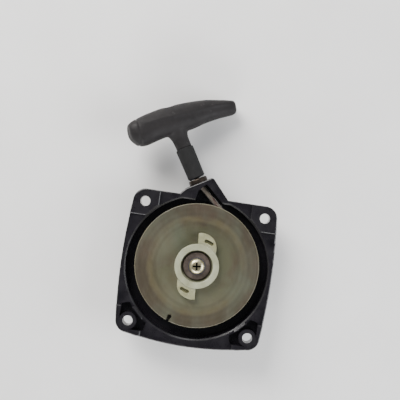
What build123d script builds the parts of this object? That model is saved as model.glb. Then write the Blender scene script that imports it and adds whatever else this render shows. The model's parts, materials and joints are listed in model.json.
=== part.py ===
from build123d import *

import os
from math import cos, radians, sin, tan

# Recoil (pull) starter of a small two-stroke engine, in millimetres.
#
# Frame: +Z points out of the housing towards the engine, and the rope reel turns about the Z axis.
# z = 0 is the face that bolts to the engine. The housing lies below it, on its flat back, and the pull
# rope leaves through a throat on the +Y side.

os.makedirs("parts", exist_ok=True)

# ---------------------------------------------------------------- driving dimensions
HOLE_PITCH = 72.0  # square of mounting holes
HOLES_Y = -2.0  # middle of that square
HOLE_R = 3.0
CORNER_R = 7.4  # outer radius of each corner, about its hole
PAD = 17.0  # side of the raised pad round each hole
PLATE_T = 7.0  # thickness of the corner lugs
LUG_POCKET_R = 10.8  # hollow round the boss of each lower hole
LUG_POCKET_D = 5.4
LUG_BOSS_R = 5.2
LIP_IN_R = CORNER_R - 2.2  # inside of the lip that stays round that hollow
SIDE_BULGE = 45.4  # half width of the housing at its middle
BOTTOM_BULGE = 49.0
BOWL_R = 42.6  # inside of the round bowl
BOWL_Y = -1.2
WALL = 2.6
EDGE_R = 0.8  # rounding of the moulded edges
RIB_T = 1.8
CHANNEL_W = 6.4  # rope channel in the throat
CHANNEL_START = 12.0  # from the rope's last touch on the reel
CHANNEL_LEFT = -7.0
EYELET_HOLE_R = 3.4
GUIDE_R = 5.7  # eyelet's flange, which the handle rests on
GUIDE_H = 2.9
REEL_R = 37.5
ROPE_R = 1.5
ROPE_OUT = 32.5  # radius at which the rope leaves the reel
TURN_STEP = 3.05  # each turn of rope lies on the one below
HALF_TURNS = 6
ROPE_IN = ROPE_OUT - HALF_TURNS * TURN_STEP / 2
DRUM_R = ROPE_IN - ROPE_R - 0.05
SHEET = 0.7  # sheet steel of the spring's cup and cover
STRIP_T = 0.5  # spring strip
STRIP_W = 7.5
SPRING_COILS = 11
PULL_ANGLE = 31.5  # the handle leaves this far to the left of +Y
FACE_ANGLE = 30.0  # the throat's exit face looks this far to the left of +Y
LEAD_ANGLE = 47.8  # and the rope reaches the exit from the reel at this angle
EXIT_DISTANCE = 37.5  # from the rope's last touch on the reel to the exit
BEND_R = 10.0  # bend of the rope in the exit
GRIP_ANGLE = 19.0  # the grip rises this far to the right: it is raked, not square to the stem
GRIP_REACH = 40.9  # from the exit to where the stem's axis meets the grip's
GRIP_YAW = 16.0  # tilt of the grip, left end up

# ---------------------------------------------------------------- levels along Z
Z_RIM = -1.2  # rim between the corner pads
Z_REEL_TOP = -3.4
FLANGE_T = 1.7
GROOVE_W = 4.0
Z_GROOVE_TOP = Z_REEL_TOP - FLANGE_T
Z_GROOVE_LOW = Z_GROOVE_TOP - GROOVE_W
Z_REEL_LOW = Z_GROOVE_LOW - FLANGE_T
Z_ROPE = (Z_GROOVE_TOP + Z_GROOVE_LOW) / 2
Z_COVER = Z_REEL_LOW - 0.7  # top of the spring cover
Z_FLOOR = Z_COVER - SHEET  # floor of the bowl
Z_STRIP_TOP = Z_FLOOR - 0.3
Z_STRIP_LOW = Z_STRIP_TOP - STRIP_W
Z_CUP = Z_STRIP_LOW - 0.3  # floor inside the spring cup
Z_POCKET = Z_CUP - SHEET  # floor of the pocket that holds the cup
FLOOR_T = 2.4
RING_H = 0.6  # the back rests on a low ring
Z_SKIRT = Z_FLOOR - FLOOR_T
Z_BACK = Z_POCKET - FLOOR_T - RING_H
Z_HUB = 1.6  # top of the reel's hub
Z_DOG = 0.8
Z_SEAT = -2.4  # floor of the hub's recess
Z_POST = Z_SEAT + 0.2
RETAINER_T = 1.0
LOCK_T = 0.8
THRUST_T = 0.8
Z_BOSS = Z_CUP + THRUST_T + 0.1

# ---------------------------------------------------------------- radii about the reel's axis
POST_R = 6.0
BORE_R = 6.06
BOSS_R = 8.6
STEP_R = 7.8
HUB_R = 13.3
HUB_IN = 9.6
POCKET_R = 25.0
DOME_R = 27.6
BACK_RECESS_R = 17.0
COVER_R = 30.4
COVER_SCREW_R = 27.8
COVER_SCREW_BOSS_R = 3.2
COVER_SCREW_ANGLES = (30, 150, 270)
DOG_FACES = (95, 275)  # steep side of each ratchet dog
NOTCH_ANGLE = 250  # rope notch in the front flange
NOTCH_R = 1.3
RETAINER_R = 8.1
INSERT_R = 3.4
INSERT_L = 11.0
SCREW_R = 2.5
CORE_IN = 11.0  # hollow under the drum
CORE_OUT = DRUM_R - 2.2
CORE_TOP = Z_GROOVE_TOP + 0.5
SPRING_IN = BOSS_R + 0.6
SPRING_OUT = 23.6

# ---------------------------------------------------------------- places worked out from these
HX = HOLE_PITCH / 2
Y_TOP = HOLES_Y + HX
Y_LOW = HOLES_Y - HX
LOW_HOLES = [(-HX, Y_LOW), (HX, Y_LOW)]
HOLES = [(-HX, Y_TOP), (HX, Y_TOP)] + LOW_HOLES
SLANT = CORNER_R * cos(radians(45))
BOWL_TOP = Y_TOP + CORNER_R - 2.5  # the bowl is cut off straight behind the top edge


def polar(radius, angle, z=0):
    """A point at a radius and at an angle in degrees from +X."""
    return Vector(radius * cos(radians(angle)), radius * sin(radians(angle)), z)


def radial_plane(angle):
    """The plane through the reel's axis at this angle: X runs outward and Y runs up."""
    return Plane(origin=(0, 0, 0), x_dir=polar(1, angle), z_dir=polar(1, angle - 90))


LEAD = polar(1, 90 + LEAD_ANGLE)
PULL = polar(1, 90 + PULL_ANGLE)
FACE = polar(1, 90 + FACE_ANGLE)
ALONG_FACE = polar(1, FACE_ANGLE)
TAN = polar(ROPE_OUT, LEAD_ANGLE, Z_ROPE)
EXIT = TAN + LEAD * EXIT_DISTANCE
BEND_CUT = BEND_R * tan(radians((LEAD_ANGLE - PULL_ANGLE) / 2))  # bend's reach on each side of EXIT
ACROSS = polar(1, PULL_ANGLE)
GRIP = polar(1, GRIP_ANGLE) * cos(radians(GRIP_YAW)) - Vector(0, 0, 1) * sin(radians(GRIP_YAW))
GRIP_UP = polar(1, 90 + GRIP_ANGLE)

# ---------------------------------------------------------------- outlines used by several pieces
with BuildSketch() as outline:
    with BuildLine():
        left = ThreePointArc((-HX - CORNER_R, Y_TOP), (-SIDE_BULGE, HOLES_Y), (-HX - CORNER_R, Y_LOW))
        low_left = ThreePointArc(left @ 1, (-HX - SLANT, Y_LOW - SLANT), (-HX, Y_LOW - CORNER_R))
        low = ThreePointArc(low_left @ 1, (0, -BOTTOM_BULGE), (HX, Y_LOW - CORNER_R))
        low_right = ThreePointArc(low @ 1, (HX + SLANT, Y_LOW - SLANT), (HX + CORNER_R, Y_LOW))
        right = ThreePointArc(low_right @ 1, (SIDE_BULGE, HOLES_Y), (HX + CORNER_R, Y_TOP))
        top_right = ThreePointArc(right @ 1, (HX + SLANT, Y_TOP + SLANT), (HX, Y_TOP + CORNER_R))
        top = Line(top_right @ 1, (-HX, Y_TOP + CORNER_R))
        ThreePointArc(top @ 1, (-HX - SLANT, Y_TOP + SLANT), left @ 0)
    make_face()
    fillet(outline.vertices(), 2)

with BuildSketch() as pads:
    with Locations(*HOLES):
        Rectangle(PAD, PAD)
    add(outline.sketch, mode=Mode.INTERSECT)

with BuildSketch() as bowl_inside:
    with Locations((0, BOWL_Y)):
        Circle(BOWL_R)
    with Locations((0, BOWL_TOP - BOWL_R)):
        Rectangle(2 * BOWL_R, 2 * BOWL_R, mode=Mode.INTERSECT)
    fillet(bowl_inside.vertices(), 3)

with BuildSketch() as bowl_outside:
    with Locations((0, BOWL_Y)):
        Circle(BOWL_R + WALL)
    with Locations((0, BOWL_TOP + 2.3 - BOWL_R - WALL)):
        Rectangle(2 * (BOWL_R + WALL), 2 * (BOWL_R + WALL), mode=Mode.INTERSECT)
    fillet(bowl_outside.vertices(), 5)

FACE_LOW = EXIT - ALONG_FACE * 8.4
FACE_HIGH = EXIT + ALONG_FACE * 9.1
THROAT_RIGHT = 12.9
with BuildSketch() as throat:
    with BuildLine():
        Polyline(
            (FACE_LOW.X - 5, Y_TOP + CORNER_R - 2),
            (FACE_LOW.X, FACE_LOW.Y),
            (FACE_HIGH.X, FACE_HIGH.Y),
            (THROAT_RIGHT, Y_TOP + CORNER_R),
            (THROAT_RIGHT + 8, Y_TOP + CORNER_R - 2),
            close=True,
        )
    make_face()
    fillet(throat.vertices().sort_by(Axis.Y)[-1], 2)

# ---------------------------------------------------------------- screws of the spring cover
with BuildPart() as cover_screws:
    for angle in COVER_SCREW_ANGLES:
        place = polar(COVER_SCREW_R, angle, Z_COVER)
        with BuildSketch(Plane(origin=place, x_dir=(1, 0, 0), z_dir=(0, -1, 0))):
            with BuildLine():
                Polyline((0, 0), (2.1, 0), (1.1, -1.0), (1.1, -5.4), (0.5, -6.0), (0, -6.0), close=True)
            make_face()
        revolve(axis=Axis(place, (0, 0, 1)))
cover_screws.part.label = "cover_screws"

# ---------------------------------------------------------------- housing
# each slab gets its rounded edge before they are joined
with BuildPart() as lug_plate:
    with BuildSketch(Plane.XY.offset(Z_RIM)):
        add(outline.sketch)
    extrude(amount=-PLATE_T)
    fillet(lug_plate.faces().sort_by(Axis.Z)[-1].edges(), EDGE_R)
    fillet(lug_plate.faces().sort_by(Axis.Z)[0].edges(), EDGE_R)

with BuildPart() as bowl_body:
    with BuildSketch(Plane.XY.offset(Z_RIM - 2)):
        add(bowl_outside.sketch)
    extrude(amount=Z_SKIRT - Z_RIM + 2)
    fillet(bowl_body.faces().sort_by(Axis.Z)[0].edges(), 2.2)

with BuildPart() as throat_body:
    with BuildSketch(Plane.XY.offset(Z_RIM)):
        add(throat.sketch)
    extrude(amount=Z_SKIRT + 1 - Z_RIM)
    fillet(throat_body.faces().sort_by(Axis.Z)[-1].edges(), EDGE_R)
    fillet(throat_body.faces().sort_by(Axis.Z)[0].edges(), EDGE_R)

with BuildPart() as pad_blocks:
    with BuildSketch(Plane.XY):
        add(pads.sketch)
    extrude(amount=Z_RIM - PLATE_T)
    fillet(pad_blocks.faces().group_by(Axis.Z)[-1].edges(), EDGE_R)
    fillet(pad_blocks.faces().group_by(Axis.Z)[0].edges(), EDGE_R)

with BuildPart() as starter_housing:
    add(lug_plate.part)
    add(bowl_body.part)
    add(throat_body.part)
    add(pad_blocks.part)
    # dome over the spring, its screw bosses, and ribs out to the bowl's edge
    with BuildSketch(Plane.XY.offset(Z_SKIRT + 0.5)):
        Circle(DOME_R)
    extrude(amount=Z_BACK - Z_SKIRT - 0.5)
    chamfer(starter_housing.faces().sort_by(Axis.Z)[0].edges(), 1.6)
    with BuildSketch(Plane.XY.offset(Z_SKIRT + 0.5)):
        for angle in COVER_SCREW_ANGLES:
            with Locations(polar(COVER_SCREW_R, angle)):
                Circle(COVER_SCREW_BOSS_R)
    extrude(amount=-6)
    for angle in range(15, 360, 30):
        with BuildSketch(radial_plane(angle)):
            with BuildLine():
                Polyline(
                    (DOME_R - 1, Z_SKIRT + 1),
                    (41, Z_SKIRT + 1),
                    (41, Z_SKIRT - 0.6),
                    (DOME_R + 4, Z_SKIRT - 3.4),
                    (DOME_R - 1, Z_BACK + 3.4),
                    close=True,
                )
            make_face()
        extrude(amount=RIB_T / 2, both=True)
    # the bowl, the spring pocket, and the post that the reel turns on
    with BuildSketch(Plane.XY):
        add(bowl_inside.sketch)
    extrude(amount=Z_FLOOR, mode=Mode.SUBTRACT)
    for level, inset in ((Z_RIM, 0), (0, EDGE_R)):
        with BuildSketch(Plane.XY.offset(level - EDGE_R)):
            offset(bowl_inside.sketch, amount=inset)
        extrude(amount=EDGE_R, taper=-45, mode=Mode.SUBTRACT)
    with BuildSketch(Plane.XY.offset(Z_RIM)):
        offset(bowl_inside.sketch, amount=EDGE_R)
    extrude(amount=-Z_RIM, mode=Mode.SUBTRACT)
    with BuildSketch(Plane.XY.offset(Z_FLOOR)):
        Circle(POCKET_R)
    extrude(amount=Z_POCKET - Z_FLOOR, mode=Mode.SUBTRACT)
    with BuildSketch(Plane.XY.offset(Z_POCKET - 0.5)):
        Circle(POST_R)
    extrude(amount=Z_POST - Z_POCKET + 0.5)
    with BuildSketch(Plane.XY.offset(Z_POCKET - 0.5)):
        Circle(STEP_R)
    extrude(amount=Z_CUP - Z_POCKET + 0.5)
    with BuildSketch(Plane.XY.offset(Z_BACK)):
        Circle(BACK_RECESS_R)
    extrude(amount=RING_H, mode=Mode.SUBTRACT)
    # pockets round the bosses of the two lower holes
    with BuildSketch(Plane.XY):
        with Locations(*LOW_HOLES):
            Circle(LUG_POCKET_R)
        with Locations((0, Y_LOW + HX)):
            RectangleRounded(2 * HX + 2 * LIP_IN_R, 2 * HX + 2 * LIP_IN_R, LIP_IN_R, mode=Mode.INTERSECT)
        with Locations((0, BOWL_Y)):
            Circle(BOWL_R + 2, mode=Mode.SUBTRACT)
        with Locations(*LOW_HOLES):
            Circle(LUG_BOSS_R, mode=Mode.SUBTRACT)
    extrude(amount=-LUG_POCKET_D, mode=Mode.SUBTRACT)
    # rope channel, open on the engine side and wider towards the reel, and the hole for the eyelet
    channel_side = polar(CHANNEL_W / 2, LEAD_ANGLE)
    channel_low = Vector(TAN.X, TAN.Y, 0) + LEAD * CHANNEL_START
    channel_high = Vector(TAN.X, TAN.Y, 0) + LEAD * (EXIT_DISTANCE - 3.4)
    with BuildSketch(Plane.XY):
        with BuildLine():
            Polyline(
                channel_low + channel_side,
                channel_high + channel_side,
                channel_high - channel_side,
                (CHANNEL_LEFT, BOWL_TOP - 1),
                channel_low - channel_side,
                close=True,
            )
        make_face()
    extrude(amount=Z_ROPE - 3.4, mode=Mode.SUBTRACT)
    with BuildSketch(Plane(origin=EXIT - FACE * 6, z_dir=FACE)):
        Circle(EYELET_HOLE_R)
    extrude(amount=8, mode=Mode.SUBTRACT)
    # mounting holes, the bore for the post's insert, and the cover's screws
    with BuildSketch(Plane.XY):
        with Locations(*HOLES):
            Circle(HOLE_R)
    extrude(amount=-12, mode=Mode.SUBTRACT)
    with BuildSketch(Plane.XY.offset(Z_POST)):
        Circle(INSERT_R)
    extrude(amount=-INSERT_L, mode=Mode.SUBTRACT)
    add(cover_screws.part, mode=Mode.SUBTRACT)
starter_housing.part.label = "starter_housing"

# ---------------------------------------------------------------- rope eyelet in the throat
with BuildPart() as rope_eyelet:
    with BuildSketch(Plane(origin=EXIT, x_dir=ALONG_FACE, z_dir=(0, 0, 1))):
        with BuildLine():
            Polyline((3.4, 0), (GUIDE_R, 0), (GUIDE_R, GUIDE_H - 0.9))
            RadiusArc((GUIDE_R, GUIDE_H - 0.9), (GUIDE_R - 0.9, GUIDE_H), -0.9)
            Line((GUIDE_R - 0.9, GUIDE_H), (4.4, GUIDE_H))
            RadiusArc((4.4, GUIDE_H), (2.5, GUIDE_H - 1.9), -1.9)
            Line((2.5, GUIDE_H - 1.9), (2.5, -2.4))
            RadiusArc((2.5, -2.4), (3.2, -3.1), -0.7)
            Line((3.2, -3.1), (3.2, -3.2))
            Polyline((3.2, -3.2), (3.4, -3.2), (3.4, 0))
        make_face()
    revolve(axis=Axis(EXIT, FACE))
rope_eyelet.part.label = "rope_eyelet"

# ---------------------------------------------------------------- threaded insert in the post
with BuildPart() as post_insert:
    with BuildSketch(Plane.XY.offset(Z_POST)):
        Circle(INSERT_R)
        Circle(SCREW_R, mode=Mode.SUBTRACT)
    extrude(amount=-INSERT_L)
post_insert.part.label = "post_insert"

# ---------------------------------------------------------------- spring cup, spring and cover
with BuildPart() as spring_cup:
    with BuildSketch(Plane.XY.offset(Z_POCKET)):
        Circle(POCKET_R)
        Circle(STEP_R, mode=Mode.SUBTRACT)
    extrude(amount=Z_FLOOR - 0.2 - Z_POCKET)
    with BuildSketch(Plane.XY.offset(Z_CUP)):
        Circle(POCKET_R - SHEET)
    extrude(amount=Z_FLOOR - Z_CUP, mode=Mode.SUBTRACT)
spring_cup.part.label = "spring_cup"

with BuildPart() as mainspring:
    coil_step = (SPRING_OUT - SPRING_IN) / SPRING_COILS
    half_turns = 2 * SPRING_COILS
    with BuildSketch(Plane.XY.offset(Z_STRIP_LOW)):
        with BuildLine():
            for side in (-STRIP_T / 2, STRIP_T / 2):
                for turn in range(half_turns):
                    radius = SPRING_IN + turn * coil_step / 2 + side
                    middle = (coil_step / 2 if turn % 2 else 0, 0)
                    CenterArc(middle, radius, -180 * turn, -180)
            Line((SPRING_IN - STRIP_T / 2, 0), (SPRING_IN + STRIP_T / 2, 0))
            last = SPRING_IN + half_turns * coil_step / 2
            Line((last - STRIP_T / 2, 0), (last + STRIP_T / 2, 0))
        make_face()
        with Locations((SPRING_IN - 0.7, STRIP_T / 2)):
            Rectangle(1.9, STRIP_T)
        with Locations((last + 0.2, STRIP_T / 2)):
            Rectangle(0.9, STRIP_T)
    extrude(amount=STRIP_W)
mainspring.part.label = "mainspring"

with BuildPart() as spring_cover:
    with BuildSketch(Plane.XY.offset(Z_FLOOR)):
        Circle(COVER_R)
        Circle(BOSS_R + 1.2, mode=Mode.SUBTRACT)
    extrude(amount=SHEET)
    add(cover_screws.part, mode=Mode.SUBTRACT)
spring_cover.part.label = "spring_cover"

# ---------------------------------------------------------------- washers and screw on the post
with BuildPart() as thrust_washer:
    with BuildSketch(Plane.XY.offset(Z_CUP)):
        Circle(7.5)
        Circle(POST_R, mode=Mode.SUBTRACT)
    extrude(amount=THRUST_T)
thrust_washer.part.label = "thrust_washer"

with BuildPart() as retaining_washer:
    with BuildSketch(Plane.XY.offset(Z_POST)):
        Circle(RETAINER_R)
        Circle(SCREW_R, mode=Mode.SUBTRACT)
    extrude(amount=RETAINER_T)
    fillet(retaining_washer.edges().group_by(Axis.Z)[-1].sort_by(SortBy.RADIUS)[-1], 0.3)
retaining_washer.part.label = "retaining_washer"

Z_LOCK = Z_POST + RETAINER_T
with BuildPart() as lock_washer:
    with BuildSketch(Plane.XY.offset(Z_LOCK)):
        Circle(5.2)
        Circle(SCREW_R, mode=Mode.SUBTRACT)
        with Locations(polar(4.2, 235)):
            Rectangle(4.4, 0.5, rotation=205, mode=Mode.SUBTRACT)
    extrude(amount=LOCK_T)
lock_washer.part.label = "lock_washer"

Z_HEAD = Z_LOCK + LOCK_T
with BuildPart() as centre_screw:
    with BuildSketch(Plane.XZ):
        with BuildLine():
            Polyline((0, Z_HEAD - 12), (1.9, Z_HEAD - 12), (SCREW_R, Z_HEAD - 11.2), (SCREW_R, Z_HEAD))
            Polyline((SCREW_R, Z_HEAD), (4.5, Z_HEAD), (4.6, Z_HEAD + 0.9))
            RadiusArc((4.6, Z_HEAD + 0.9), (2.6, Z_HEAD + 2.7), -2.6)
            Polyline((2.6, Z_HEAD + 2.7), (0, Z_HEAD + 2.9), (0, Z_HEAD - 12))
        make_face()
    revolve(axis=Axis.Z)
    with BuildSketch(Plane.XY.offset(Z_HEAD + 3)):
        for turn in (0, 90):
            Rectangle(5.0, 1.1, rotation=turn + 8)
    extrude(amount=-1.9, taper=8, mode=Mode.SUBTRACT)
centre_screw.part.label = "centre_screw"

# ---------------------------------------------------------------- reel
KNOT_PATH_BEND = 70
inner_end = polar(ROPE_IN, LEAD_ANGLE, Z_ROPE)
with BuildLine() as knot_path:
    bend = JernArc(inner_end, -LEAD, 4.5, -KNOT_PATH_BEND)
    Line(bend @ 1, (bend @ 1) + (bend % 1) * 3.0)

# two ratchet dogs, steep on the side that meets the engine's pawls
with BuildPart() as dogs:
    for face in DOG_FACES:
        with BuildSketch(Plane.XY.offset(Z_REEL_TOP - 0.5)):
            with BuildLine():
                Line(polar(HUB_R - 1, face), polar(19.7, face))
                Spline(
                    polar(19.7, face),
                    polar(20.1, face - 8),
                    polar(19.9, face - 16),
                    polar(19.0, face - 29),
                    polar(17.2, face - 39),
                    polar(14.6, face - 49),
                    polar(HUB_R - 0.6, face - 56),
                )
                Line(polar(HUB_R - 0.6, face - 56), polar(HUB_R - 1, face - 54))
                ThreePointArc(
                    polar(HUB_R - 1, face - 54), polar(HUB_R - 1, face - 27), polar(HUB_R - 1, face)
                )
            make_face()
        extrude(amount=Z_DOG - Z_REEL_TOP + 0.5)
    dog_tops = dogs.faces().group_by(Axis.Z)[-1].edges()
    fillet(dog_tops.filter_by(lambda edge: edge.length > 3 and edge.geom_type != GeomType.CIRCLE), 0.4)
    for face in DOG_FACES:
        with BuildSketch(Plane.XY.offset(Z_DOG)):
            with BuildLine():
                pit = CenterArc((0, 0), 16.0, face - 31, 14)
            SlotArc(pit, 2.0)
        extrude(amount=-2.2, mode=Mode.SUBTRACT)

with BuildPart() as reel:
    with BuildSketch(Plane.XZ) as reel_half:
        with BuildLine():
            Polyline(
                (BORE_R, Z_BOSS),
                (BOSS_R, Z_BOSS),
                (BOSS_R, Z_REEL_LOW),
                (CORE_IN, Z_REEL_LOW),
                (CORE_IN, CORE_TOP),
                (CORE_OUT, CORE_TOP),
                (CORE_OUT, Z_REEL_LOW),
                (REEL_R, Z_REEL_LOW),
                (REEL_R, Z_GROOVE_LOW),
                (DRUM_R, Z_GROOVE_LOW),
                (DRUM_R, Z_GROOVE_TOP),
                (REEL_R, Z_GROOVE_TOP),
                (REEL_R, Z_REEL_TOP),
                (HUB_R, Z_REEL_TOP),
                (HUB_R, Z_HUB),
                (HUB_IN, Z_HUB),
                (HUB_IN, Z_SEAT),
                (BORE_R, Z_SEAT),
                close=True,
            )
        make_face()
        fillet(reel_half.vertices().group_by(Axis.X)[-1], 0.6)
        fillet(reel_half.vertices().group_by(Axis.Y)[-1], 0.5)
    revolve(axis=Axis.Z)
    # ribs in the hollow under the drum
    for angle in range(0, 360, 60):
        with BuildSketch(radial_plane(angle + 10)):
            with Locations(((CORE_IN + CORE_OUT) / 2, (Z_REEL_LOW + CORE_TOP) / 2)):
                Rectangle(CORE_OUT - CORE_IN + 1, CORE_TOP - Z_REEL_LOW)
        extrude(amount=0.8, both=True)
    add(dogs.part)
    # notch in the front flange for catching the rope
    with BuildSketch(Plane.XY.offset(Z_REEL_TOP)):
        with Locations(polar(34.6, NOTCH_ANGLE)):
            Circle(NOTCH_R)
        with Locations(polar(36.6, NOTCH_ANGLE)):
            Rectangle(4, 1.9, rotation=NOTCH_ANGLE)
    extrude(amount=-FLANGE_T, mode=Mode.SUBTRACT)
    # slot in the rear boss for the spring's inner end
    with BuildSketch(Plane.XY.offset(Z_BOSS)):
        with Locations((BOSS_R + 0.1, STRIP_T / 2)):
            Rectangle(3.0, 1.3)
    extrude(amount=Z_STRIP_TOP + 0.2 - Z_BOSS, mode=Mode.SUBTRACT)
    # the rope's way into the drum
    with BuildSketch(Plane(origin=inner_end, x_dir=(0, 0, 1), z_dir=-LEAD)):
        Circle(ROPE_R + 0.3)
    sweep(path=knot_path.line, mode=Mode.SUBTRACT)
reel.part.label = "reel"

# ---------------------------------------------------------------- rope
with BuildPart() as rope_winding:
    with BuildLine() as winding_path:
        for turn in range(HALF_TURNS):
            radius = ROPE_OUT - turn * TURN_STEP / 2
            middle = Vector(0, 0, Z_ROPE)
            if turn % 2:
                middle = middle - polar(TURN_STEP / 2, LEAD_ANGLE)
            CenterArc(middle, radius, LEAD_ANGLE - 180 * turn, -180)
    with BuildSketch(Plane(origin=TAN, x_dir=(0, 0, 1), z_dir=-LEAD)):
        Circle(ROPE_R)
    sweep(path=winding_path.line)
rope_winding.part.label = "rope_winding"

with BuildPart() as rope_reel_knot:
    with BuildSketch(Plane(origin=inner_end, x_dir=(0, 0, 1), z_dir=-LEAD)):
        Circle(ROPE_R)
    sweep(path=knot_path.line)
    with Locations((bend @ 1) + (bend % 1) * 4.8):
        Sphere(2.4)
rope_reel_knot.part.label = "rope_reel_knot"

with BuildPart() as rope_lead:
    with BuildLine() as lead_path:
        Line(TAN, EXIT - LEAD * BEND_CUT)
        JernArc(EXIT - LEAD * BEND_CUT, LEAD, BEND_R, PULL_ANGLE - LEAD_ANGLE)
    with BuildSketch(Plane(origin=TAN, x_dir=(0, 0, 1), z_dir=LEAD)):
        Circle(ROPE_R)
    sweep(path=lead_path.line)
rope_lead.part.label = "rope_lead"

# distances from here on run along the pull, from the exit
TAIL_END = 46.0
SLEEVE_LOW = 3.3
SLEEVE_TOP = 23.0
CORE_LOW = 6.0
STEM_CORE_R = 3.5
STEM_BORE_R = 2.1
POCKET_FLOOR = 41.6
KNOT_POCKET_R = 5.2
KNOT_R = 3.3

with BuildPart() as rope_tail:
    with BuildSketch(Plane(origin=EXIT + PULL * BEND_CUT, x_dir=(0, 0, 1), z_dir=PULL)):
        Circle(ROPE_R)
    extrude(amount=TAIL_END - BEND_CUT)
rope_tail.part.label = "rope_tail"

with BuildPart() as handle_knot:
    with Locations(Plane(origin=EXIT + PULL * TAIL_END, z_dir=PULL)):
        Sphere(KNOT_R)
    with BuildSketch(Plane(origin=EXIT + PULL * (TAIL_END - 4), z_dir=PULL)):
        Circle(ROPE_R)
    extrude(amount=4, mode=Mode.SUBTRACT)
handle_knot.part.label = "handle_knot"

# ---------------------------------------------------------------- handle
# the grip's sections: place along it from the stem, lowest and highest reach across it, thickness
SECTIONS = [
    (-28.0, -6.0, 1.0, 9.0),
    (-26.2, -9.4, 2.9, 13.0),
    (-22.8, -12.0, 4.2, 15.5),
    (-18.2, -12.3, 5.8, 16.5),
    (-8.2, -9.8, 8.1, 17.0),
    (1.1, -8.4, 9.2, 18.0),
    (11.0, -7.0, 9.8, 17.0),
    (20.5, -4.6, 9.7, 16.0),
    (29.9, -2.9, 8.5, 14.0),
    (38.6, -2.0, 6.9, 11.5),
    (40.6, -0.6, 5.2, 8.0),
]
with BuildPart() as handle_grip:
    for place, low, high, thick in SECTIONS:
        middle = EXIT + PULL * GRIP_REACH + GRIP * place + GRIP_UP * ((low + high) / 2)
        with BuildSketch(Plane(origin=middle, x_dir=GRIP_UP, z_dir=GRIP)):
            RectangleRounded(high - low, thick, min(high - low, thick) * 0.42)
    loft()
    with BuildSketch(Plane(origin=EXIT, x_dir=ACROSS, z_dir=ACROSS.cross(PULL))):
        with BuildLine():
            Polyline(
                (0, CORE_LOW),
                (STEM_CORE_R, CORE_LOW),
                (STEM_CORE_R, SLEEVE_TOP),
                (4.9, SLEEVE_TOP),
                (4.9, SLEEVE_TOP + 5),
                (6.4, 34),
                (6.4, 38),
                (0, 38),
                close=True,
            )
        make_face()
    revolve(axis=Axis(EXIT, PULL))
    with BuildSketch(Plane(origin=EXIT, z_dir=PULL)):
        Circle(STEM_BORE_R)
    extrude(amount=60, mode=Mode.SUBTRACT)
    with BuildSketch(Plane(origin=EXIT + PULL * POCKET_FLOOR, z_dir=PULL)):
        Circle(KNOT_POCKET_R)
    extrude(amount=20, mode=Mode.SUBTRACT)
handle_grip.part.label = "handle_grip"

with BuildPart() as knot_washer:
    with BuildSketch(Plane(origin=EXIT + PULL * (POCKET_FLOOR + 0.05), z_dir=PULL)):
        Circle(4.8)
        Circle(ROPE_R, mode=Mode.SUBTRACT)
    extrude(amount=1.0)
knot_washer.part.label = "knot_washer"

with BuildPart() as stem_sleeve:
    with BuildSketch(Plane(origin=EXIT, x_dir=ACROSS, z_dir=ACROSS.cross(PULL))):
        with BuildLine():
            Polyline(
                (STEM_BORE_R, SLEEVE_LOW),
                (4.4, SLEEVE_LOW),
                (5.2, SLEEVE_LOW + 0.8),
                (5.4, SLEEVE_TOP - 0.6),
                (4.9, SLEEVE_TOP),
                (STEM_CORE_R, SLEEVE_TOP),
                (STEM_CORE_R, CORE_LOW),
                (STEM_BORE_R, CORE_LOW),
                close=True,
            )
        make_face()
    revolve(axis=Axis(EXIT, PULL))
stem_sleeve.part.label = "stem_sleeve"

# ---------------------------------------------------------------- write every piece
PIECES = [
    starter_housing,
    rope_eyelet,
    post_insert,
    spring_cup,
    mainspring,
    spring_cover,
    cover_screws,
    thrust_washer,
    retaining_washer,
    lock_washer,
    centre_screw,
    reel,
    rope_winding,
    rope_reel_knot,
    rope_lead,
    rope_tail,
    handle_knot,
    knot_washer,
    handle_grip,
    stem_sleeve,
]
for piece in PIECES:
    export_step(piece.part, f"parts/{piece.part.label}.step")
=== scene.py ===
"""Looks of the recoil starter: materials for every CAD piece, and the grip, the rope and its knots as meshes."""

import json
import math

import bmesh
import bpy
from mathutils import Matrix, Vector, noise


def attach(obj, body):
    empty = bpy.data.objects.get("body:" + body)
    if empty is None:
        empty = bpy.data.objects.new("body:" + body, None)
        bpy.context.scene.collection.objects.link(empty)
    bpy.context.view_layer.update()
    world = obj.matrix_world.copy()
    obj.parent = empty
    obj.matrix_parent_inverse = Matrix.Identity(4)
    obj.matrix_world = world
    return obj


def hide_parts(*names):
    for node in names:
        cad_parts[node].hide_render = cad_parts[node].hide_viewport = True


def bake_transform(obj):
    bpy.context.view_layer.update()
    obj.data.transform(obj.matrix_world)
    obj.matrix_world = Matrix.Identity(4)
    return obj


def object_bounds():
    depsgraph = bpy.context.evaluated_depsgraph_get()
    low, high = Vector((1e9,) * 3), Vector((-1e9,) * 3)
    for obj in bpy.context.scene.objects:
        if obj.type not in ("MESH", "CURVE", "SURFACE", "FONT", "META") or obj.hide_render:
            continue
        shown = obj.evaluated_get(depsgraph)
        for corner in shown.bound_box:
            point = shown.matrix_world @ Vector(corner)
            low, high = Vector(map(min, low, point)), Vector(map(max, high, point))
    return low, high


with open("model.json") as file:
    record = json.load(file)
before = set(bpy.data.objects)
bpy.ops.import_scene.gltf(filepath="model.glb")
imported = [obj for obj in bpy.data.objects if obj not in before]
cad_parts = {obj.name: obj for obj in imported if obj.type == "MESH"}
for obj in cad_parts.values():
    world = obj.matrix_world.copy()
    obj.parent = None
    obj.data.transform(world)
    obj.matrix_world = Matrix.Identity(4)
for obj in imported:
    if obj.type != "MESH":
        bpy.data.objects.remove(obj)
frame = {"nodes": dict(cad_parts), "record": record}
cad_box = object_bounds()

MM = 0.001

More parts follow.
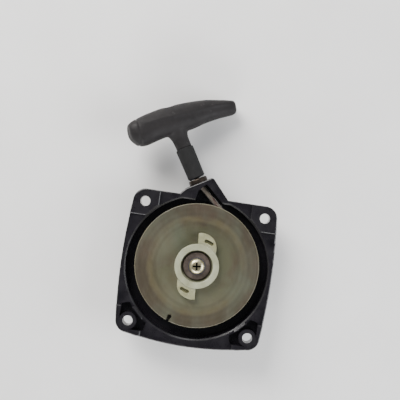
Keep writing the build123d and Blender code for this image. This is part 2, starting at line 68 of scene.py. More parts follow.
# ---------------------------------------------------------------- places, from the frame
JOINTS = {joint["name"]: joint for joint in frame["record"]["behaviour"]["joints"]}
PULL = Vector(JOINTS["handle_pull"]["axis"]).normalized()
PULL_REACH = JOINTS["handle_pull"]["range_m"][1]
EXIT = Vector(JOINTS["handle_swivel"]["pos_m"])
UP = Vector((0, 0, 1))
ACROSS = PULL.cross(UP).normalized()  # to the right of the pull, seen from the engine
LEAD_ANGLE = math.radians(47.8)  # polar angle at which the rope leaves the reel
ROPE_R = 1.5 * MM
ROPE_OUT = 32.5 * MM  # radius of the outer turn
TURN_STEP = 3.05 * MM  # from one turn to the next
HALF_TURNS = 6
GRIP_REACH = 40.9 * MM  # from the exit to where the stem's axis meets the grip's
POCKET_FLOOR = 41.6  # mm from the exit
GRIP_ANGLE = math.radians(19.0)
GRIP_YAW = math.radians(16.0)
# along the grip, and across it away from the stem
GRIP_UP = Vector((-math.sin(GRIP_ANGLE), math.cos(GRIP_ANGLE), 0))
GRIP = Vector((math.cos(GRIP_ANGLE), math.sin(GRIP_ANGLE), 0)) * math.cos(GRIP_YAW)
GRIP = GRIP - UP * math.sin(GRIP_YAW)
LOW_Z = cad_box[0][2]


def polar(radius, angle, z=0.0):
    return Vector((radius * math.cos(angle), radius * math.sin(angle), z))


# ---------------------------------------------------------------- camera, light and floor
def look_at(obj, target, up):
    forward = (target - obj.location).normalized()
    right = forward.cross(up).normalized()
    true_up = right.cross(forward)
    obj.rotation_mode = "QUATERNION"
    matrix = Matrix((right, true_up, -forward)).transposed()
    obj.rotation_quaternion = matrix.to_quaternion()


VIEW_CENTRE = Vector((-3.9, 39.3, 0)) * MM
VIEW_UP = Vector((-0.1478, 0.989, 0))  # the part lies turned by 8.5 degrees
VIEW_HEIGHT = 0.45
camera_data = bpy.data.cameras.new("camera")
camera_data.lens = 68
camera_data.sensor_width = 36
camera_data.clip_start = 0.01
camera = bpy.data.objects.new("camera", camera_data)
bpy.context.collection.objects.link(camera)
camera.location = VIEW_CENTRE + Vector((0, 0, VIEW_HEIGHT))
look_at(camera, VIEW_CENTRE, VIEW_UP)
bpy.context.scene.camera = camera


def area_light(name, place, target, size, power, tint):
    data = bpy.data.lights.new(name, "AREA")
    data.shape = "RECTANGLE"
    data.size, data.size_y = size
    data.energy = power
    data.color = tint
    lamp = bpy.data.objects.new(name, data)
    lamp.location = place
    bpy.context.collection.objects.link(lamp)
    look_at(lamp, target, Vector((0, 1, 0.01)))


area_light("key", Vector((-0.5, 0.62, 0.55)), VIEW_CENTRE, (0.7, 0.45), 17, (1, 0.985, 0.96))
area_light("fill", Vector((0.75, -0.05, 0.45)), VIEW_CENTRE, (0.6, 0.6), 8, (0.95, 0.97, 1))
area_light("rim", Vector((-0.05, -0.7, 0.38)), VIEW_CENTRE, (0.5, 0.25), 3.5, (1, 1, 1))
# low strips, which the rounded edges of the housing reflect
area_light("strip_high", Vector((0.12, 0.95, 0.12)), VIEW_CENTRE, (1.0, 0.22), 2.0, (1, 1, 1))
area_light("strip_low", Vector((0.05, -0.9, 0.3)), VIEW_CENTRE, (1.2, 0.55), 6.5, (1, 1, 1))

world = bpy.data.worlds.new("world")
bpy.context.scene.world = world
world.use_nodes = True
# dimmer overhead than near the horizon, so that flat faces stay dark and rounded edges catch the light
world_nodes = world.node_tree.nodes
direction = world_nodes.new("ShaderNodeTexCoord").outputs["Generated"]
split = world_nodes.new("ShaderNodeSeparateXYZ")
sky = world_nodes.new("ShaderNodeValToRGB")
for position, level in ((0.25, 0.62), (0.62, 0.42)):
    sky.color_ramp.elements.new(position).color = (level, level * 1.01, level * 1.03, 1)
sky.color_ramp.elements[0].color = (0.7, 0.71, 0.73, 1)
sky.color_ramp.elements[-1].color = (0.07, 0.072, 0.08, 1)
world.node_tree.links.new(direction, split.inputs[0])
world.node_tree.links.new(split.outputs[2], sky.inputs["Fac"])
world.node_tree.links.new(sky.outputs["Color"], world_nodes["Background"].inputs["Color"])
world_nodes["Background"].inputs["Strength"].default_value = 0.9


# ---------------------------------------------------------------- materials
class Shader:
    """A Principled material, and short ways to add the nodes that vary it."""

    def __init__(self, name, **sockets):
        self.material = bpy.data.materials.new(name)
        self.material.use_nodes = True
        self.tree = self.material.node_tree
        self.shader = self.tree.nodes["Principled BSDF"]
        for socket, value in sockets.items():
            self.shader.inputs[socket.replace("_", " ")].default_value = value
        self.place = self.tree.nodes.new("ShaderNodeTexCoord").outputs["Object"]

    def link(self, source, target):
        self.tree.links.new(source, target)

    def noise(self, size, detail=3.0, roughness=0.55, place=None, distortion=0.0):
        node = self.tree.nodes.new("ShaderNodeTexNoise")
        node.inputs["Scale"].default_value = 1 / size
        node.inputs["Detail"].default_value = detail
        node.inputs["Roughness"].default_value = roughness
        node.inputs["Distortion"].default_value = distortion
        self.link(place or self.place, node.inputs["Vector"])
        return node.outputs["Fac"]

    def stretched(self, factors):
        node = self.tree.nodes.new("ShaderNodeMapping")
        node.inputs["Scale"].default_value = factors
        self.link(self.place, node.inputs["Vector"])
        return node.outputs["Vector"]

    def ramp(self, factor, stops):
        node = self.tree.nodes.new("ShaderNodeValToRGB")
        elements = node.color_ramp.elements
        while len(elements) < len(stops):
            elements.new(0.5)
        for element, (position, colour) in zip(elements, stops):
            element.position = position
            element.color = (*colour, 1) if len(colour) == 3 else colour
        self.link(factor, node.inputs["Fac"])
        return node.outputs["Color"]

    def to_range(self, value, low, high, new_low, new_high):
        node = self.tree.nodes.new("ShaderNodeMapRange")
        node.inputs["From Min"].default_value = low
        node.inputs["From Max"].default_value = high
        node.inputs["To Min"].default_value = new_low
        node.inputs["To Max"].default_value = new_high
        self.link(value, node.inputs["Value"])
        return node.outputs["Result"]

    def math(self, operation, first, second=None):
        node = self.tree.nodes.new("ShaderNodeMath")
        node.operation = operation
        for socket, value in zip(node.inputs, (first, second)):
            if value is None:
                continue
            if isinstance(value, (int, float)):
                socket.default_value = value
            else:
                self.link(value, socket)
        return node.outputs["Value"]

    def mix(self, factor, first, second, blend="MIX"):
        node = self.tree.nodes.new("ShaderNodeMix")
        node.data_type = "RGBA"
        node.blend_type = blend
        for socket, value in ((node.inputs[0], factor), (node.inputs[6], first), (node.inputs[7], second)):
            if isinstance(value, (int, float)):
                socket.default_value = value
            elif isinstance(value, tuple):
                socket.default_value = (*value, 1)
            else:
                self.link(value, socket)
        return node.outputs[2]

    def radius(self):
        """Distance from the reel's axis, in metres."""
        split = self.tree.nodes.new("ShaderNodeSeparateXYZ")
        self.link(self.place, split.inputs[0])
        squares = self.math("ADD", self.math("MULTIPLY", split.outputs[0], split.outputs[0]),
                            self.math("MULTIPLY", split.outputs[1], split.outputs[1]))
        return self.math("SQRT", squares)

    def height(self):
        split = self.tree.nodes.new("ShaderNodeSeparateXYZ")
        self.link(self.place, split.inputs[0])
        return split.outputs[2]

    def convex_edges(self, low=0.505, high=0.56):
        node = self.tree.nodes.new("ShaderNodeNewGeometry")
        return self.to_range(node.outputs["Pointiness"], low, high, 0, 1)

    def bump(self, height, strength, distance):
        node = self.tree.nodes.new("ShaderNodeBump")
        node.inputs["Strength"].default_value = strength
        node.inputs["Distance"].default_value = distance
        self.link(height, node.inputs["Height"])
        self.link(node.outputs["Normal"], self.shader.inputs["Normal"])

    def set(self, socket, value):
        self.link(value, self.shader.inputs[socket])


def housing_plastic():
    m = Shader("housing_plastic", IOR=1.46, Coat_Weight=0.22, Coat_Roughness=0.16)
    cloud = m.noise(14 * MM, 4)
    base = m.ramp(cloud, [(0.3, (0.0024, 0.0021, 0.0034)), (0.7, (0.0058, 0.0048, 0.0070))])
    dust = m.to_range(m.noise(3 * MM, 6, 0.7), 0.56, 0.75, 0, 0.14)
    colour = m.mix(dust, base, (0.03, 0.027, 0.03))
    # painted highlight: lighter along the convex edges
    colour = m.mix(m.math("MULTIPLY", m.convex_edges(), 0.12), colour, (0.05, 0.047, 0.052))
    m.set("Base Color", colour)
    m.set("Roughness", m.to_range(m.noise(6 * MM, 5), 0.3, 0.7, 0.21, 0.37))
    grain = m.noise(0.35 * MM, 2)
    flow = m.noise(9 * MM, 2, place=m.stretched((1, 1, 0.3)))
    uneven = m.math("ADD", m.math("MULTIPLY", flow, 3.0), m.math("MULTIPLY", grain, 0.2))
    m.bump(uneven, 0.14, 0.1 * MM)
    return m.material


def nylon():
    m = Shader("nylon", IOR=1.5, Specular_IOR_Level=0.4, Subsurface_Weight=0.2, Subsurface_Scale=0.0015)
    m.shader.inputs["Subsurface Radius"].default_value = (1.0, 0.9, 0.6)
    radius = m.radius()
    wobble = m.to_range(m.noise(16 * MM, 4, 0.6), 0, 1, -2.5 * MM, 2.5 * MM)
    place = m.to_range(m.math("ADD", radius, wobble), 10 * MM, 40 * MM, 0, 1)
    flange = m.ramp(place, [
        (0.10, (0.078, 0.079, 0.046)),
        (0.40, (0.062, 0.061, 0.035)),
        (0.53, (0.054, 0.048, 0.027)),
        (0.60, (0.084, 0.071, 0.037)),
        (0.69, (0.047, 0.038, 0.024)),
        (0.90, (0.046, 0.038, 0.025)),
    ])
    brown = m.to_range(m.noise(21 * MM, 4, 0.55, distortion=0.7), 0.45, 0.66, 0, 0.75)
    flange = m.mix(brown, flange, (0.054, 0.033, 0.023))
    green = m.to_range(m.noise(27 * MM, 3, 0.5, place=m.stretched((1.4, 0.8, 1))), 0.47, 0.66, 0, 0.65)
    flange = m.mix(green, flange, (0.076, 0.088, 0.062))
    pale = m.to_range(m.noise(48 * MM, 2, 0.5), 0.45, 0.62, 0, 0.5)
    pale = m.math("MULTIPLY", pale, m.to_range(radius, 24 * MM, 30 * MM, 1, 0.25))
    flange = m.mix(pale, flange, (0.118, 0.114, 0.070))
    # the rope's turns show faintly through the flange
    turns = m.math("SINE", m.math("MULTIPLY", radius, 2 * math.pi / TURN_STEP))
    drum = m.to_range(radius, 22 * MM, 24 * MM, 0, 1)
    under = m.math("MULTIPLY", m.to_range(turns, -1, 1, 0, 0.16), drum)
    flange = m.mix(under, flange, (0.026, 0.020, 0.014))
    streak = m.to_range(m.noise(2.4 * MM, 5, 0.6, place=m.stretched((1, 0.25, 1))), 0.5, 0.8, 0, 0.25)
    flange = m.mix(streak, flange, (0.10, 0.09, 0.066))
    hub = m.ramp(m.noise(6 * MM, 4), [(0.3, (0.235, 0.235, 0.150)), (0.7, (0.335, 0.345, 0.245))])
    dogs = m.ramp(m.noise(4 * MM, 4), [(0.3, (0.200, 0.195, 0.105)), (0.7, (0.290, 0.285, 0.180))])
    raised = m.mix(m.to_range(radius, 13.1 * MM, 14.6 * MM, 0, 1), hub, dogs)
    colour = m.mix(m.to_range(m.height(), -3.3 * MM, -0.6 * MM, 0, 1), flange, raised)
    # the pits in the dogs
    beyond = m.to_range(radius, 14.6 * MM, 14.9 * MM, 0, 1)
    within = m.to_range(radius, 17.1 * MM, 17.4 * MM, 1, 0)
    pit = m.math("MULTIPLY", beyond, within)
    pit = m.math("MULTIPLY", pit, m.to_range(m.height(), -1.6 * MM, -1.2 * MM, 1, 0))
    pit = m.math("MULTIPLY", pit, m.to_range(m.height(), -3.3 * MM, -2.9 * MM, 0, 0.5))
    colour = m.mix(pit, colour, (0.20, 0.19, 0.09))
    # painted shade in the hub's recess, darker towards its floor, and a lighter rim on the flange
    inside = m.to_range(radius, 8.7 * MM, 9.15 * MM, 1, 0)
    hub_recess_shade = m.math("MULTIPLY", inside, m.to_range(m.height(), -2.3 * MM, 0.5 * MM, 1, 0.2))
    colour = m.mix(hub_recess_shade, colour, (0.035, 0.030, 0.018))
    rim = m.to_range(radius, 36.9 * MM, 37.35 * MM, 0, 0.75)
    colour = m.mix(rim, colour, (0.22, 0.205, 0.14))
    m.set("Base Color", colour)
    m.set("Roughness", m.to_range(m.noise(4 * MM, 5), 0.3, 0.7, 0.34, 0.5))
    scratch = m.noise(0.5 * MM, 3)
    swirl = m.noise(7 * MM, 3)
    uneven = m.math("ADD", m.math("MULTIPLY", scratch, 0.15), m.math("MULTIPLY", swirl, 1.5))
    m.bump(uneven, 0.25, 0.15 * MM)
    return m.material


def grip_plastic():
    m = Shader("grip_plastic", IOR=1.46, Specular_IOR_Level=0.3)
    cloud = m.noise(12 * MM, 4)
    base = m.ramp(cloud, [(0.3, (0.0065, 0.0056, 0.0060)), (0.7, (0.0120, 0.0102, 0.0106))])
    base = m.mix(m.math("MULTIPLY", m.convex_edges(0.51, 0.57), 0.3), base, (0.04, 0.036, 0.037))
    scuff = m.to_range(m.noise(3.5 * MM, 5, 0.6, place=m.stretched((1, 1, 2))), 0.5, 0.8, 0, 0.3)
    m.set("Base Color", m.mix(scuff, base, (0.028, 0.025, 0.026)))
    m.set("Roughness", m.to_range(m.noise(3 * MM, 4), 0.3, 0.7, 0.5, 0.68))
    grain = m.noise(0.28 * MM, 2)
    m.bump(grain, 0.5, 0.08 * MM)
    return m.material


def sleeve_rubber():
    m = Shader("sleeve_rubber", IOR=1.45, Specular_IOR_Level=0.3)
    base = m.ramp(m.noise(6 * MM, 5), [(0.3, (0.0045, 0.0045, 0.0047)), (0.7, (0.0090, 0.0088, 0.0090))])
    bloom = m.to_range(m.noise(1.6 * MM, 5, 0.7), 0.55, 0.8, 0, 0.25)
    m.set("Base Color", m.mix(bloom, base, (0.03, 0.029, 0.029)))
    m.set("Roughness", m.to_range(m.noise(2 * MM, 4), 0.3, 0.7, 0.62, 0.8))
    m.bump(m.noise(0.4 * MM, 3), 0.35, 0.1 * MM)
    return m.material


def metal(name, colour, dark, roughness, stain=(0.1, 0.08, 0.06), stain_amount=0.3, turned=True, recess=False):
    m = Shader(name, Metallic=1.0)
    base = m.ramp(m.noise(3 * MM, 5), [(0.3, dark), (0.7, colour)])
    spots = m.to_range(m.noise(1.3 * MM, 6, 0.7), 0.56, 0.78, 0, stain_amount)
    base = m.mix(spots, base, stain)
    if recess:  # painted shade in the cross recess of the centre screw
        deep = m.to_range(m.height(), 1.75 * MM, 2.15 * MM, 1, 0)
        recess_shade = m.math("MULTIPLY", deep, m.to_range(m.radius(), 2.45 * MM, 2.6 * MM, 1, 0))
        base = m.mix(recess_shade, base, (0.012, 0.011, 0.010))
    m.set("Base Color", base)
    m.set("Roughness", m.to_range(m.noise(0.9 * MM, 4), 0.3, 0.7, roughness - 0.06, roughness + 0.1))
    if turned:
        rings = m.math("SINE", m.math("MULTIPLY", m.radius(), 2 * math.pi / (0.22 * MM)))
        m.bump(m.math("ADD", m.math("MULTIPLY", rings, 0.2), m.noise(0.5 * MM, 3)), 0.2, 0.03 * MM)
    else:
        m.bump(m.noise(0.6 * MM, 4), 0.2, 0.04 * MM)
    return m.material


def rope_cord():
    m = Shader("rope", IOR=1.45, Sheen_Weight=0.35, Sheen_Roughness=0.5)
    # red of the attribute is the braid's height, green its tracer
    tone = m.tree.nodes.new("ShaderNodeAttribute")
    tone.attribute_name = "braid"
    split = m.tree.nodes.new("ShaderNodeSeparateColor")
    m.link(tone.outputs["Color"], split.inputs[0])
    # painted shade: darker where the braid stands low, in the creases between the strands
    base = m.ramp(split.outputs[0], [
        (0.0, (0.022, 0.017, 0.013)),
        (0.5, (0.088, 0.070, 0.054)),
        (1.0, (0.165, 0.140, 0.110)),
    ])
    base = m.mix(split.outputs[1], base, (0.045, 0.010, 0.010))
    fuzz = m.noise(0.25 * MM, 3)
    dirt = m.to_range(m.noise(6 * MM, 4), 0.5, 0.75, 0, 0.3)
    base = m.mix(dirt, base, (0.07, 0.053, 0.04))
    m.set("Base Color", base)
    m.shader.inputs["Roughness"].default_value = 0.78
    m.bump(fuzz, 0.5, 0.08 * MM)
    return m.material


def floor_paper():
    m = Shader("floor_paper", Roughness=0.75)
    m.set("Base Color", m.ramp(m.noise(60 * MM, 3), [(0.3, (0.80, 0.79, 0.78)), (0.7, (0.84, 0.835, 0.825))]))
    return m.material


STEEL = {
    "zinc_steel": metal("zinc_steel", (0.72, 0.66, 0.44), (0.52, 0.47, 0.30), 0.34, recess=True),
    "washer_steel": metal("washer_steel", (0.27, 0.22, 0.19), (0.17, 0.135, 0.115), 0.45, stain_amount=0.4),
    "bright_steel": metal("bright_steel", (0.66, 0.66, 0.64), (0.5, 0.5, 0.49), 0.3),
    "sheet_steel": metal("sheet_steel", (0.5, 0.5, 0.49), (0.36, 0.36, 0.35), 0.4, turned=False),
    "spring_steel": metal("spring_steel", (0.27, 0.28, 0.33), (0.17, 0.17, 0.2), 0.33, turned=False),
    "brass": metal("brass", (0.78, 0.6, 0.3), (0.62, 0.45, 0.2), 0.3),
}
MATERIALS = {
    "housing_plastic": housing_plastic(),
    "nylon": nylon(),
    "grip_plastic": grip_plastic(),
    "sleeve_rubber": sleeve_rubber(),
    "rope": rope_cord(),
    **STEEL,
}
for subpart in frame["record"]["subparts"]:
    node = frame["nodes"][subpart["node"]]
    node.data.materials.clear()
    node.data.materials.append(MATERIALS[subpart["material_slot"]])
eyelet = frame["nodes"]["rope_eyelet"]
eyelet.data.materials[0] = metal(
    "guide_steel", (0.060, 0.048, 0.040), (0.030, 0.024, 0.020), 0.42, turned=False
)

# ---------------------------------------------------------------- floor
FLOOR_GAP = 0.05 * MM  # so that the floor and the flat back don't lie in one plane
bpy.ops.mesh.primitive_plane_add(size=4, location=(0, 0, LOW_Z - FLOOR_GAP))
floor = bpy.context.object
floor.name = "floor"
floor.data.materials.append(floor_paper())


# ---------------------------------------------------------------- mesh helpers
def mesh_object(name, vertices, faces, slot):
    mesh = bpy.data.meshes.new(name)
    mesh.from_pydata(vertices, [], faces)
    mesh.validate()
    mesh.shade_smooth()
    mesh.materials.append(MATERIALS[slot])
    obj = bpy.data.objects.new(name, mesh)
    bpy.context.collection.objects.link(obj)
    return obj


def ring_faces(rings, sides, close_ends=True):
    faces = []
    for i in range(rings - 1):
        for k in range(sides):
            here, there = i * sides + k, i * sides + (k + 1) % sides
            faces.append((here, there, there + sides, here + sides))
    if close_ends:
        faces.append(tuple(reversed(range(sides))))
        faces.append(tuple(range((rings - 1) * sides, rings * sides)))
    return faces


BRAID_LAY = 2.4 * MM  # length of one diamond of the braid along the rope
TRACER_LAY = 26 * MM  # the dark tracer goes once round the rope in this length


def braid(along, around):
    """How high the braid stands (0 to 1) and how much of the tracer's colour it has."""
    left = 4 * around + 2 * math.pi * along / BRAID_LAY
    right = 4 * around - 2 * math.pi * along / BRAID_LAY
    over = math.sin(left) * math.sin(right) > 0
    height = abs(math.sin(left)) if over else abs(math.sin(right))
    offset = (around + 2 * math.pi * along / TRACER_LAY) % (2 * math.pi)
    tracer = 1.0 if offset < 1.0 and over else 0.25 if offset < 1.3 else 0.0
    return height, tracer


def tube(name, centres, normal, lengths, sides, thickness=None):
    """A closed braided tube through the centres. lengths is the rope length at each centre."""
    vertices, tones = [], []
    count = len(centres)
    for i, centre in enumerate(centres):
        ahead = centres[min(i + 1, count - 1)] - centres[max(i - 1, 0)]
        side = ahead.cross(normal).normalized()
        top = side.cross(ahead).normalized()
        scale = thickness(i / (count - 1)) if thickness else 1.0
        for k in range(sides):
            around = 2 * math.pi * k / sides
            height, tracer = braid(lengths[i], around)
            radius = ROPE_R * (0.89 + 0.10 * height) * scale
            vertices.append(centre + (side * math.cos(around) + top * math.sin(around)) * radius)
            tones.append((height, tracer, 0, 1))
    obj = mesh_object(name, vertices, ring_faces(count, sides), "rope")
    colours = obj.data.color_attributes.new("braid", "FLOAT_COLOR", "POINT")
    for element, tone in zip(colours.data, tones):
        element.color = tone
    return obj


def walk(line, step):
    """Points a step apart along a polyline of Vectors, and their distances along it."""
    points, distances, travelled, left = [line[0].copy()], [0.0], 0.0, step
    for a, b in zip(line, line[1:]):
        length = (b - a).length
        while left <= length:
            points.append(a.lerp(b, left / length))
            distances.append(travelled + left)
            left += step
        left -= length
        travelled += length
    return points, distances


def applied(obj):
    """Applies the object's modifiers to its mesh."""
    graph = bpy.context.evaluated_depsgraph_get()
    mesh = bpy.data.meshes.new_from_object(obj.evaluated_get(graph))
    obj.modifiers.clear()
    obj.data = mesh


def cut_away(obj, cutter):
    modifier = obj.modifiers.new("cut", "BOOLEAN")
    modifier.operation = "DIFFERENCE"
    modifier.solver = "EXACT"
    modifier.object = cutter
    applied(obj)
    bpy.data.objects.remove(cutter)


# ---------------------------------------------------------------- rope
TANGENT = polar(ROPE_OUT, LEAD_ANGLE, EXIT.z)
LEAD = Vector((-math.sin(LEAD_ANGLE), math.cos(LEAD_ANGLE), 0))
BEND_R = 10 * MM
HALF_BEND = math.acos(LEAD.dot(PULL)) / 2
BEND_CUT = BEND_R * math.tan(HALF_BEND)

# half circles about two centres, each smaller than the one before
winding_line = []
for half in range(HALF_TURNS):
    middle = Vector((0, 0, EXIT.z))
    if half % 2:
        middle = middle - polar(TURN_STEP / 2, LEAD_ANGLE)
    for k in range(0 if half == 0 else 1, 181):
        angle = LEAD_ANGLE - math.pi * half - math.pi * k / 180
        winding_line.append(middle + polar(ROPE_OUT - half * TURN_STEP / 2, angle))
points, distances = walk(winding_line, 0.4 * MM)
wound_rope = tube("wound_rope", points, UP, distances, 20)
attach(wound_rope, "reel")
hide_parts("rope_winding")

bend_start = EXIT - LEAD * BEND_CUT
bend_side = (PULL - LEAD * LEAD.dot(PULL)).normalized()
throat_line = [TANGENT, bend_start]
for k in range(1, 25):
    angle = 2 * HALF_BEND * k / 24
    sideways = bend_side * (BEND_R * (1 - math.cos(angle)))
    throat_line.append(bend_start + sideways + LEAD * (BEND_R * math.sin(angle)))
points, distances = walk(throat_line, 0.15 * MM)
throat_rope = tube("throat_rope", points, UP, distances, 32)
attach(throat_rope, "housing")
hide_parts("rope_lead")

# The rope from the exit to the knot. Its rings crowd together at rest, so that they are evenly spaced
# when the handle is fully out.
TAIL_START = BEND_CUT * 0.8
TAIL_REACH = 33 * MM
TAIL_END = 44.5 * MM
TAIL_RINGS = 1300
tail_points, tail_lengths = [], []
for ring in range(TAIL_RINGS + 1):
    wanted = (PULL_REACH + TAIL_REACH) * ring / TAIL_RINGS
    low, high = 0.0, 1.0
    for _ in range(40):
        t = (low + high) / 2
        if t * TAIL_REACH + t * t * (3 - 2 * t) * PULL_REACH < wanted:
            low = t
        else:
            high = t
    tail_points.append(EXIT + PULL * (TAIL_START + t * TAIL_REACH))
    tail_lengths.append(wanted)
for k in range(1, 31):
    reach = (TAIL_END - TAIL_START - TAIL_REACH) * k / 30
    tail_points.append(tail_points[TAIL_RINGS] + PULL * reach)
    tail_lengths.append(PULL_REACH + TAIL_REACH + reach)
pulled_rope = tube("pulled_rope", tail_points, UP, tail_lengths, 16)
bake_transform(pulled_rope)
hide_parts("rope_tail")

# overhand knot on its washer, in the pocket of the grip
KNOT_SIZE = 1.08 * MM
KNOT_REACH = 46 * MM
KNOT_HALF_H = 1.35 * MM
knot_line = []
for k in range(241):
    t = 2 * math.pi * k / 240
    around = Vector((math.sin(t) + 2 * math.sin(2 * t), math.cos(t) - 2 * math.cos(2 * t), 0)) * KNOT_SIZE
    reach = KNOT_REACH - KNOT_HALF_H * math.sin(3 * t)
    knot_line.append(EXIT + ACROSS * around.x + UP * around.y + PULL * reach)
points, distances = walk(knot_line, 0.15 * MM)
stopper_knot = tube("stopper_knot", points, PULL, distances, 28)
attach(stopper_knot, "pull_rope")
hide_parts("handle_knot")

# inner end of the rope, through the drum's wall to its fused bead
inner_end = polar(ROPE_OUT - HALF_TURNS * TURN_STEP / 2, LEAD_ANGLE, EXIT.z)
INNER_BEND = math.radians(70)
INNER_BEND_R = 4.5 * MM
INNER_STRAIGHT = 6.9 * MM
inner_line = []
bend_in = -polar(INNER_BEND_R, LEAD_ANGLE)
for k in range(41):
    angle = INNER_BEND * k / 40
    back = LEAD * (INNER_BEND_R * math.sin(angle))
    inner_line.append(inner_end + bend_in * (1 - math.cos(angle)) - back)
ahead = (inner_line[-1] - inner_line[-2]).normalized()
inner_line.append(inner_line[-1] + ahead * INNER_STRAIGHT)
points, distances = walk(inner_line, 0.15 * MM)


def bead(t):
    """Thickness of the inner end of the rope at this part of its length, against the rope's."""
    reach = (t - 0.62) / 0.38
    if reach <= 0.12:
        return 1.0
    return max(0.05, math.sqrt(max(0.0, 1 - (2 * reach - 1) ** 2)) * 1.55)


fused_end = tube("fused_end", points, UP, distances, 24, bead)
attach(fused_end, "reel")
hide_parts("rope_reel_knot")

# ---------------------------------------------------------------- grip
# place along the grip from the stem, lowest and highest reach across it, thickness, squareness, in mm
GRIP_SECTIONS = [
    (-28.0, -5.6, 0.9, 8.4, 2.4),
    (-27.5, -7.4, 1.9, 11.0, 2.5),
    (-26.2, -9.2, 2.9, 13.0, 2.6),
    (-23.2, -11.9, 4.2, 15.2, 2.6),
    (-18.2, -12.3, 5.8, 16.3, 2.6),
    (-8.2, -9.8, 8.1, 16.8, 2.6),
    (1.1, -8.4, 9.2, 17.6, 2.6),
    (11.0, -7.0, 9.8, 16.8, 2.7),
    (20.5, -4.6, 9.7, 15.8, 2.8),
    (29.9, -2.9, 8.5, 13.8, 3.0),
    (38.0, -2.2, 7.0, 11.6, 3.2),
    (39.9, -1.6, 6.4, 10.2, 3.0),
    (40.5, -0.6, 5.2, 7.8, 2.6),
]
GRIP_CENTRE = EXIT + PULL * GRIP_REACH
GRIP_OUT = GRIP.cross(GRIP_UP).normalized()
GROOVE_PLACE = -22.6
GROOVE_DEPTH = 0.45
GROOVE_HALF_W = 0.55
NECK_REACH = -17.5  # below this the neck and core stay as they are


def between(table, place):
    """A row of the table at this place, on a smooth curve through its rows."""
    i = 1
    while i < len(table) - 1 and table[i][0] < place:
        i += 1
    rows = [table[max(i - 2, 0)], table[i - 1], table[i], table[min(i + 1, len(table) - 1)]]
    x0, x1, x2, x3 = (row[0] for row in rows)
    t = (place - x1) / (x2 - x1)
    out = []
    for y0, y1, y2, y3 in zip(*rows):
        slope_1 = (y2 - y0) / (x2 - x0) * (x2 - x1) if x2 > x0 else 0
        slope_2 = (y3 - y1) / (x3 - x1) * (x2 - x1) if x3 > x1 else 0
        out.append(
            (2 * t**3 - 3 * t**2 + 1) * y1
            + (t**3 - 2 * t**2 + t) * slope_1
            + (3 * t**2 - 2 * t**3) * y2
            + (t**3 - t**2) * slope_2
        )
    return out


def outward(obj):
    """Turns the faces of a closed mesh outwards."""
    work = bmesh.new()
    work.from_mesh(obj.data)
    bmesh.ops.recalc_face_normals(work, faces=work.faces)
    work.to_mesh(obj.data)
    work.free()


def turned_shape(name, profile, sides):
    """A closed shape round the pull's line. The profile has reaches from the exit and radii, in mm."""
    vertices = []
    for reach, radius in profile:
        for k in range(sides):
            angle = 2 * math.pi * k / sides
            spoke = ACROSS * math.cos(angle) + UP * math.sin(angle)
            vertices.append(EXIT + (PULL * reach + spoke * radius) * MM)
    return mesh_object(name, vertices, ring_faces(len(profile), sides), "grip_plastic")


def from_pull_line(point):
    """How far along the pull's line from the exit a point is, and how far off it, in mm."""
    offset = point - EXIT
    reach = offset.dot(PULL)
    return reach / MM, (offset - PULL * reach).length / MM


def clamp(value):
    return max(0.0, min(1.0, value))


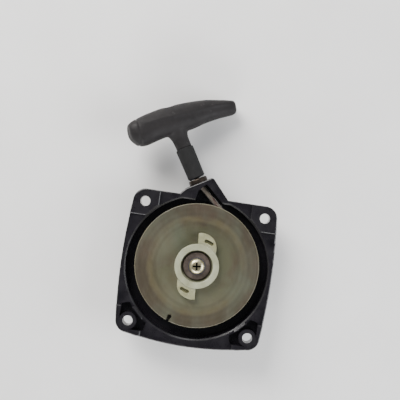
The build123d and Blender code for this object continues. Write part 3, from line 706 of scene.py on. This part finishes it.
def make_grip():
    sides, stations = 128, 300
    narrow_end, wide_end = GRIP_SECTIONS[-1][0], GRIP_SECTIONS[0][0]
    vertices = []
    for i in range(stations + 1):
        place = wide_end + (narrow_end - wide_end) * i / stations
        _, low, high, thick, power = between(GRIP_SECTIONS, place)
        for k in range(sides):
            angle = 2 * math.pi * k / sides
            c, s = math.cos(angle), math.sin(angle)
            size = (abs(c) ** power + abs(s) ** power) ** (-1 / power)
            up = (low + high) / 2 + c * size * (high - low) / 2
            out = s * size * thick / 2
            vertices.append(GRIP_CENTRE + (GRIP * place + GRIP_UP * up + GRIP_OUT * out) * MM)
    body = mesh_object("grip", vertices, ring_faces(stations + 1, sides), "grip_plastic")

    # the neck runs into the underside, and its core into the sleeve
    profile = [(6.05, 0.2), (6.05, 3.4), (22.9, 3.4), (23.05, 4.5), (23.35, 4.8), (26, 4.85)]
    profile += [(29, 5.1), (31, 5.7), (33, 6.3), (36, 6.3), (37, 0.2)]
    neck = turned_shape("neck", profile, 96)
    outward(body)
    outward(neck)
    union = body.modifiers.new("union", "BOOLEAN")
    union.operation = "UNION"
    union.solver = "EXACT"
    union.object = neck
    applied(body)
    bpy.data.objects.remove(neck)
    remesh = body.modifiers.new("remesh", "REMESH")
    remesh.mode = "VOXEL"
    remesh.voxel_size = 0.42 * MM
    applied(body)

    # soften the joint of neck and grip, and nothing else
    group = body.vertex_groups.new(name="joint")
    for vertex in body.data.vertices:
        reach, spread = from_pull_line(vertex.co)
        weight = clamp((reach - 27) / 2) * clamp((13 - spread) / 4) * clamp((37 - reach) / 3)
        group.add([vertex.index], weight, "REPLACE")
    soften = body.modifiers.new("soften", "SMOOTH")
    soften.factor = 0.5
    soften.iterations = 40
    soften.vertex_group = "joint"
    even = body.modifiers.new("even", "SMOOTH")
    even.factor = 0.5
    even.iterations = 3
    applied(body)

    # ring groove near the wide end, a crest along the face, the parting line, and slight unevenness
    work = bmesh.new()
    work.from_mesh(body.data)
    work.normal_update()
    shifts = []
    for vertex in work.verts:
        local = (vertex.co - GRIP_CENTRE) / MM
        place, up, out = local.dot(GRIP), local.dot(GRIP_UP), local.dot(GRIP_OUT)
        shift = -GROOVE_DEPTH * math.exp(-(((place - GROOVE_PLACE) / GROOVE_HALF_W) ** 2))
        fade = clamp((place + 20) / 6) * clamp((39 - place) / 4)
        crest = up - (2.2 + 0.09 * place)
        on_grip = local.dot(PULL) > -12
        if on_grip and abs(out) > 3:
            ridge = 0.22 * math.exp(-(crest**2))
            hollow = 0.1 * math.exp(-(((crest + 2.4) / 1.4) ** 2))
            shift += fade * (ridge - hollow)
        if on_grip and abs(out) < 1.5:
            shift -= 0.10 * math.exp(-((out / 0.3) ** 2))
        shift += 0.05 * noise.noise(vertex.co / (5 * MM)) - 0.08
        if local.dot(PULL) < NECK_REACH:
            shift = 0
        shifts.append(vertex.normal * shift * MM)
    for vertex, shift in zip(work.verts, shifts):
        vertex.co += shift
    work.to_mesh(body.data)
    work.free()

    # bore for the rope, and the pocket for its knot
    for low, radius, name in ((5, 2.1, "bore"), (POCKET_FLOOR, 5.2, "pocket")):
        cutter = turned_shape(name, [(low, radius), (60, radius)], 72)
        outward(cutter)
        cut_away(body, cutter)
    body.data.materials.clear()
    body.data.materials.append(MATERIALS["grip_plastic"])
    body.data.shade_smooth()
    body.data.set_sharp_from_angle(angle=math.radians(42))
    return body


grip = make_grip()
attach(grip, "handle")
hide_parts("handle_grip")
